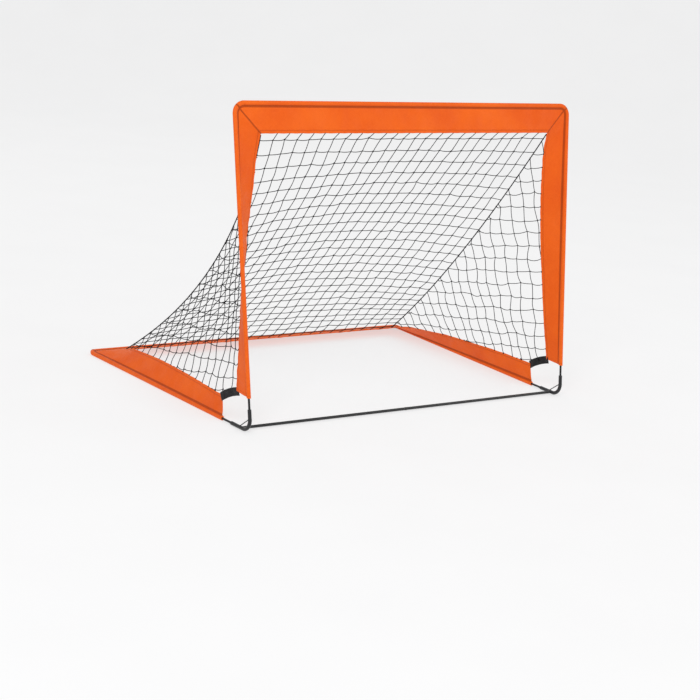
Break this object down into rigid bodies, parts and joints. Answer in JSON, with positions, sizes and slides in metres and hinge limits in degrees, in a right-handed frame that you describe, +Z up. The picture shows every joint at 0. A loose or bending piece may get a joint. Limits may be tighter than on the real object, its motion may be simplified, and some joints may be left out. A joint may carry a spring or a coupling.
{
  "type": "soccer goal frame",
  "caption": "Fold-up soccer goal frame: two bent side frames joined by springy rods, with wide fabric sleeves and a sloping net.",
  "frame": {"origin": "middle of the footprint, on the ground", "axes": "+X to the right seen from the mouth, +Y from the mouth to the rear rod, +Z up"},
  "size_m": [1.1998, 0.8901, 0.8831],
  "materials": {
    "gunmetal": "gloss black powder coat",
    "rod_black": "satin black pultruded glass fibre",
    "bar_black": "satin black",
    "bare_steel": "bare steel",
    "orange_fabric": "plain-woven polyester",
    "black_webbing": "woven webbing",
    "black_netting": "knotted twine",
    "seam_cord": "braided cord"
  },
  "bodies": {
    "left_side": {"elbow_left": "gunmetal", "brace_wire_left": "gunmetal", "bar_spigot_left": "bare_steel", "upright_rod_left": "rod_black", "ground_rod_left": "rod_black", "top_corner_left": "bare_steel", "rear_corner_left": "bare_steel", "upright_sleeve_left": "orange_fabric", "ground_sleeve_left": "orange_fabric", "strap_left": "black_webbing", "side_net_left": "black_netting", "seam_cord_left": "seam_cord", "roof_net": "black_netting"},
    "right_side": {"elbow_right": "gunmetal", "brace_wire_right": "gunmetal", "bar_spigot_right": "bare_steel", "upright_rod_right": "rod_black", "ground_rod_right": "rod_black", "top_corner_right": "bare_steel", "rear_corner_right": "bare_steel", "upright_sleeve_right": "orange_fabric", "ground_sleeve_right": "orange_fabric", "strap_right": "black_webbing", "side_net_right": "black_netting", "seam_cord_right": "seam_cord"},
    "top_left": {"top_rod_left": "rod_black", "top_ferrule": "bare_steel", "top_sleeve": "orange_fabric"},
    "top_right": {"top_rod_right": "rod_black"},
    "rear_left": {"rear_rod_left": "rod_black", "rear_ferrule": "bare_steel", "rear_sleeve": "orange_fabric"},
    "rear_right": {"rear_rod_right": "rod_black"},
    "bar_left": {"ground_bar_left": "bar_black", "ground_bar_joiner": "bar_black"},
    "bar_right": {"ground_bar_right": "bar_black"}
  },
  "joints": [
    {"name": "top_rod_flex_left", "type": "hinge", "parent": "left_side", "child": "top_left", "pos_m": [-0.548, -0.29258, 0.87713], "axis": [0, 0.7657, 0.6432], "range_deg": [0, 10], "stiffness_Nm_per_rad": 6, "springref_deg": -14.32, "deforming": ["top_corner_left", "upright_sleeve_left", "roof_net", "seam_cord_left"]},
    {"name": "top_rod_bend", "type": "hinge", "parent": "top_left", "child": "top_right", "pos_m": [0, -0.29258, 0.87713], "axis": [0, -0.7657, -0.6432], "range_deg": [0, 20], "deforming": ["top_ferrule", "top_sleeve"]},
    {"name": "top_rod_flex_right", "type": "hinge", "parent": "top_right", "child": "right_side", "pos_m": [0.548, -0.29258, 0.87713], "axis": [0, 0.7657, 0.6432], "range_deg": [0, 10], "deforming": ["top_corner_right", "upright_sleeve_right", "seam_cord_right"]},
    {"name": "rear_rod_flex_left", "type": "hinge", "parent": "left_side", "child": "rear_left", "pos_m": [-0.548, 0.43919, 0.00595], "axis": [0, -0.7657, -0.6432], "range_deg": [0, 10], "deforming": ["rear_corner_left", "ground_sleeve_left", "rear_sleeve"]},
    {"name": "rear_rod_flex_right", "type": "hinge", "parent": "right_side", "child": "rear_right", "pos_m": [0.548, 0.43919, 0.00595], "axis": [0, 0.7657, 0.6432], "range_deg": [0, 10], "deforming": ["rear_ferrule", "rear_corner_right", "ground_sleeve_right"]},
    {"name": "ground_bar_flex_left", "type": "hinge", "parent": "left_side", "child": "bar_left", "pos_m": [-0.548, -0.4013, 0.00595], "axis": [0, 0, -1], "range_deg": [0, 10], "deforming": ["bar_spigot_left"]},
    {"name": "ground_bar_flex_right", "type": "hinge", "parent": "right_side", "child": "bar_right", "pos_m": [0.548, -0.4013, 0.00595], "axis": [0, 0, 1], "range_deg": [0, 10], "deforming": ["ground_bar_joiner", "bar_spigot_right"]}
  ],
  "couplings": [
    {"joint": "top_rod_bend", "follows": "top_rod_flex_left", "ratio": 2},
    {"joint": "top_rod_flex_right", "follows": "top_rod_flex_left", "ratio": 1},
    {"joint": "rear_rod_flex_left", "follows": "top_rod_flex_left", "ratio": 1},
    {"joint": "rear_rod_flex_right", "follows": "top_rod_flex_left", "ratio": 1},
    {"joint": "ground_bar_flex_left", "follows": "top_rod_flex_left", "ratio": 1},
    {"joint": "ground_bar_flex_right", "follows": "top_rod_flex_left", "ratio": 1}
  ]
}
